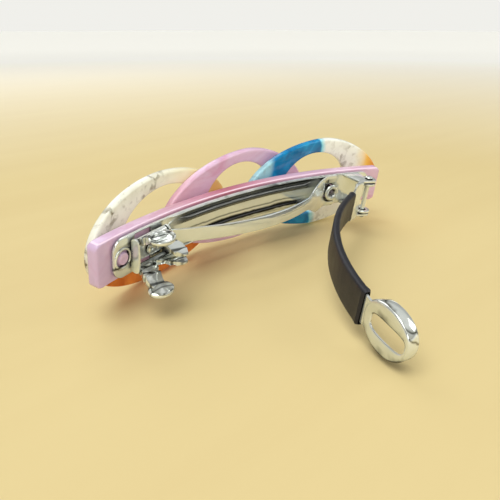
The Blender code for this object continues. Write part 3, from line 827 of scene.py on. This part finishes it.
def pin():
    """The hinge pin, with a domed head at both ends."""
    half = 5.35
    head = [(0.9, half), (0.95, half + 0.12), (0.82, half + 0.3), (0.45, half + 0.4), (0.0, half + 0.41)]
    side = [(0.6, 0.0), (0.6, half)] + head
    outline = [(r, -z) for r, z in reversed(side[1:])] + side
    return bent(turned(lathe(outline, 32), math.pi / 2, "X"), about_hinge)


piece("base_sheet", base(), BASE_NICKEL, "root", ["base_plate"], "polished_steel")
piece("eyelet_rim", eyelet(), NICKEL, "root", ["base_eyelet"], "polished_steel")
bow_strip = piece("bow_strip", bow(), BOW_NICKEL, "root", ["tension_bow"], "polished_steel")
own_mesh(bow_strip)
piece("catch_bracket_plate", bracket(), NICKEL, "root", ["catch_bracket"], "polished_steel")
piece("catch_rivet_head", rivet(), NICKEL, "root", ["catch_rivet"], "polished_steel")
piece("hinge_pin_headed", pin(), NICKEL, "root", ["hinge_pin"], "polished_steel")


# ---------------------------------------------------------------- catch fingers

def finger(side):
    """One sprung finger: barrel, faceted stem with a collar, domed thumb pad, and barbed prong."""
    start, stop = BARREL
    barrel = lathe([(0.0, start), (0.6, start), (0.75, start + 0.15), (0.75, stop - 0.15), (0.6, stop),
                    (0.0, stop)], 24)
    turned(barrel, math.pi / 2, "Y")
    stem = block([(-1.2, 0.1, 0.1, 4.2, 1.3), (-1.3, 0.35, 0.8, 4.3, 1.6), (-1.35, 0.42, 0.98, 3.5, 1.0),
                  (-1.4, 0.52, 1.2, 3.5, 1.0), (-1.42, 0.6, 1.38, 4.4, 1.7), (-1.75, 1.15, 2.2, 4.3, 1.8),
                  (-1.8, 1.25, 2.38, 3.5, 1.1), (-1.85, 1.35, 2.6, 3.5, 1.1), (-1.9, 1.45, 2.78, 4.2, 1.6),
                  (-2.3, 2.1, 4.1, 3.5, 1.1), (-2.6, 2.5, 5.4, 3.0, 0.6)], 0.06)
    rim = [(1.0, 0.30), (0.97, 0.46), (0.90, 0.52), (0.83, 0.44), (0.78, 0.20), (0.70, 0.02), (0.45, -0.04),
           (0.0, -0.04)]
    back = [(0.0, -0.90), (0.25, -0.86), (0.50, -0.66), (0.70, -0.50), (0.86, -0.42), (0.97, -0.18),
            (1.0, 0.05)]
    pad = turned(lathe(back + rim, 56), -math.pi / 2, "X")
    moved(scaled(pad, 2.9, 1.0, 2.3), -2.6, 2.6, 5.6)
    prong = block([(2.3, 0, 0, 4.14, 0.7), (2.3, -0.55, 1.8, 4.4, 1.2), (2.3, -1.1, 3.4, 2.9, 0.7),
                   (2.3, -1.6, 4.9, 3.6, 1.0), (2.3, -2.1, 6.3, 3.2, 0.6)], 0.1)
    barb = block([(2.3, -1.89, 6.2, 3.2, 1.05), (2.3, -1.95, 6.7, 2.4, 0.9), (2.3, -2.1, 7.6, 1.1, 0.4)],
                 0.1)
    return bent(together(barrel, stem, pad, prong, barb), on_finger(side))


for side, name in ((1, "catch_finger_upper"), (-1, "catch_finger_lower")):
    piece(name + "_wing", finger(side), FINGER_NICKEL, name.replace("catch_", ""), [name],
          "polished_steel", 30)


# ---------------------------------------------------------------- lever

def cheek(offset):
    """A cheek of the lever: a round head around the pin, and a foot on the strip's wide root."""
    foot = [on_lever(distance, 0, height) - on_front(*HINGE)
            for distance, height in ((2.9, 0.0), (6.8, 0.0), (6.2, -0.7))]
    crown = [(KNUCKLE * math.cos(a), KNUCKLE * math.sin(a))
             for a in (math.radians(-110 + 10 * k) - OPEN for k in range(24))]
    outline = crown + [(point.x, point.z) for point in foot]
    shape = plate([outline, circle(0, 0, PIN_HOLE, 24)], -0.3, 0.3, 0.1)
    return bent(moved(turned(shape, math.pi / 2, "X"), y=offset), about_hinge)


def loop():
    """The loop: a dish around a slot, whose turned-up edge dies away towards the neck."""
    outer = superellipse(6.1, 4.85, 2.1, 160, shift=61.5)
    inner = superellipse(4.45, 1.75, 3.5, 160, shift=62.2)
    top, wall, wall_height, wall_start, wall_run = 0.28, 0.55, 1.85, 56.4, 3.0
    rings = []
    for (ox, oy), (ix, iy) in zip(outer, inner):
        rise = wall_height * smoothstep((ox - wall_start) / wall_run)
        width = math.hypot(ox - ix, oy - iy)
        out_x, out_y = (ox - ix) / width, (oy - iy) / width
        flat = width - wall
        section = [
            (0.0, -0.12), (0.05, 0.12), (0.16, 0.24), (0.32, top), (flat - 0.5, top), (flat - 0.2, 0.36),
            (flat - 0.06, top + 0.24 * rise), (flat, top + 0.5 * rise), (flat + 0.03, top + 0.85 * rise),
            (flat + 0.10, top + rise), (flat + 0.26, 0.38 + rise), (flat + 0.44, 0.34 + rise),
            (flat + 0.53, 0.20 + rise), (flat + wall, 0.1 + 0.5 * rise), (flat + 0.5, 0.0),
            (flat + 0.36, -0.18), (flat + 0.15, -0.27), (flat - 0.1, -0.3), (0.32, -0.3), (0.1, -0.24),
        ]
        rings.append([on_lever(ix + out_x * along, iy + out_y * along, z) for along, z in section])
    return loft(rings, closed=True)


def lever():
    """The strip with its wide root and cheeks, and the dished, slotted loop."""
    upper = [(2.9, 5.05), (6.6, 5.05), (7.2, 4.9), (8.3, 3.2), (54.5, 3.2), (55.6, 2.95), (57.4, 2.95)]
    outline = upper + [(x, -y) for x, y in reversed(upper)]
    strip = bent(sliced(plate([outline], -0.25, 0.25, 0.1), 3.5, 60.0, 1.0), on_lever)
    return together(strip, loop(), cheek(4.75), cheek(-4.75))


def sleeve():
    """Shrunk tubing around the strip, with a thick lip at both ends."""
    start, stop, count = 8.55, 55.05, 80

    def ring(distance, half_width, half_height, radius):
        section = rounded_section(2 * half_width, 2 * half_height, radius)
        return [on_lever(distance, x - half_width, z + half_height) for x, z in section]

    outside, inside = [], []
    for index in range(count + 1):
        distance = start + (stop - start) * index / count
        near = min(distance - start, stop - distance)
        lip = 0.14 * math.exp(-((near - 0.7) / 0.55) ** 2)
        end = 0.30 * (1 - min(near / 0.45, 1.0)) ** 2
        outside.append(ring(distance, 3.86 + lip - end, 0.80 + lip - end, 0.70 + lip - end))
        inside.append(ring(distance, 3.5, 0.55 if near > 0.3 else 0.58, 0.2))
    return loft(outside + list(reversed(inside)), closed=True)


piece("lever_strip", lever(), NICKEL, "lever", ["lever_arm"], "polished_steel")
piece("sleeve_tube", sleeve(), BLACK, "lever", ["lever_sleeve"], "sleeve_black")


# ---------------------------------------------------------------- floor, light and camera

def floor_look():
    """A pale tabletop that fades to near white all round."""
    look = Look("pale_floor", Roughness=0.7, IOR=1.40, Specular_IOR_Level=0.2)
    grain = look.noise(9.0, 5.0, 0.3, look.scaled_place(0.6, 6.0, 1.0))
    near = look.mix(look.grey(grain, 0.0, 1.0), srgb(0.82, 0.74, 0.53), srgb(0.85, 0.78, 0.57))
    away = look.distance()
    look.use("Base Color", look.mix(look.spread(away, 130.0, 900.0), near, srgb(0.98, 0.975, 0.94)))
    look.use("Emission Color", srgb(1.0, 1.0, 0.97))
    look.use("Emission Strength", look.math("MULTIPLY", look.spread(away, 150.0, 1400.0), 0.20))
    return look.material


def lay_floor():
    """A square floor, just under the object's lowest point."""
    half, z = 8.0, -0.0001
    mesh = bpy.data.meshes.new("floor")
    mesh.from_pydata([(-half, -half, z), (half, -half, z), (half, half, z), (-half, half, z)], [],
                     [(0, 1, 2, 3)])
    mesh.materials.append(floor_look())
    thing = bpy.data.objects.new("floor", mesh)
    bpy.context.scene.collection.objects.link(thing)


def aimed(name, light, direction, place=(0.0, 0.0, 0.0)):
    """Puts a light at a place, shining in a direction."""
    thing = bpy.data.objects.new(name, light)
    thing.location = place
    thing.rotation_euler = Vector(direction).to_track_quat("-Z", "Y").to_euler()
    bpy.context.scene.collection.objects.link(thing)


def lamp(name, place, size, height, power, colour=(1.0, 1.0, 1.0)):
    """A soft box, aimed at the object's middle."""
    light = bpy.data.lights.new(name, "AREA")
    light.shape = "RECTANGLE"
    light.size, light.size_y = size, height
    light.energy = power
    light.color = colour
    aimed(name, light, -Vector(place) + Vector((0, 0, 0.01)), place)


def soft_sun():
    """A wide sun from above, which lights the floor evenly."""
    sun = bpy.data.lights.new("soft_sun", "SUN")
    sun.energy = 1.35
    sun.angle = math.radians(50)
    aimed("soft_sun", sun, (0.40, 0.10, -1.0))


def viewpoint():
    """The camera: how far it is turned from the Y axis and dipped, and its place from the clip's origin."""
    turn, dip = math.radians(42.231), math.radians(23.199)
    place = Vector((-0.07898, -0.08959, 0.03956))
    camera = bpy.data.cameras.new("camera")
    camera.lens = 37.42
    camera.sensor_width = 36.0
    camera.clip_start = 0.01
    forward = Vector((math.cos(dip) * math.sin(turn), math.cos(dip) * math.cos(turn), -math.sin(dip)))
    right = Vector((math.cos(turn), -math.sin(turn), 0.0))
    pose = Matrix((right, right.cross(forward), -forward)).transposed().to_4x4()
    pose.translation = ORIGIN + place
    thing = bpy.data.objects.new("camera", camera)
    thing.matrix_world = pose
    bpy.context.scene.collection.objects.link(thing)
    bpy.context.scene.camera = thing


def studio():
    """The sky: light and dark bands by height, for the metal to reflect, behind a plain pale backdrop."""
    backdrop = (1.75, 1.74, 1.66, 1)
    bands = ((0.07, 1.30), (0.12, 0.02), (0.22, 0.03), (0.30, 0.45), (0.40, 0.10), (0.52, 0.75))
    world = bpy.data.worlds.new("studio")
    bpy.context.scene.world = world
    world.use_nodes = True
    nodes, links = world.node_tree.nodes, world.node_tree.links
    height = nodes.new("ShaderNodeSeparateXYZ")
    links.new(nodes.new("ShaderNodeTexCoord").outputs["Generated"], height.inputs[0])
    shades = nodes.new("ShaderNodeValToRGB")
    links.new(height.outputs["Z"], shades.inputs["Fac"])
    marks = shades.color_ramp.elements
    marks[0].position, marks[0].color = 0.0, backdrop
    marks[1].position, marks[1].color = 0.85, (1.0, 1.0, 1.0, 1)
    for position, level in bands:
        marks.new(position).color = (level, level, level * 0.97, 1)
    seen = nodes.new("ShaderNodeMix")
    seen.data_type = "RGBA"
    links.new(nodes.new("ShaderNodeLightPath").outputs["Is Camera Ray"], seen.inputs["Factor"])
    links.new(shades.outputs["Color"], seen.inputs["A"])
    seen.inputs["B"].default_value = backdrop
    links.new(seen.outputs["Result"], nodes["Background"].inputs["Color"])
    nodes["Background"].inputs["Strength"].default_value = 0.50


lay_floor()
soft_sun()
lamp("key", (-0.22, -0.02, 0.50), 0.30, 0.30, 0.6, (1.0, 0.99, 0.96))
lamp("fill", (0.45, -0.35, 0.30), 0.30, 0.30, 0.7)
lamp("front", (-0.30, -0.50, 0.22), 0.30, 0.16, 1.2)
lamp("rim", (0.10, 0.50, 0.45), 0.40, 0.40, 0.9)
studio()
viewpoint()
bpy.context.scene.view_settings.view_transform = "Standard"
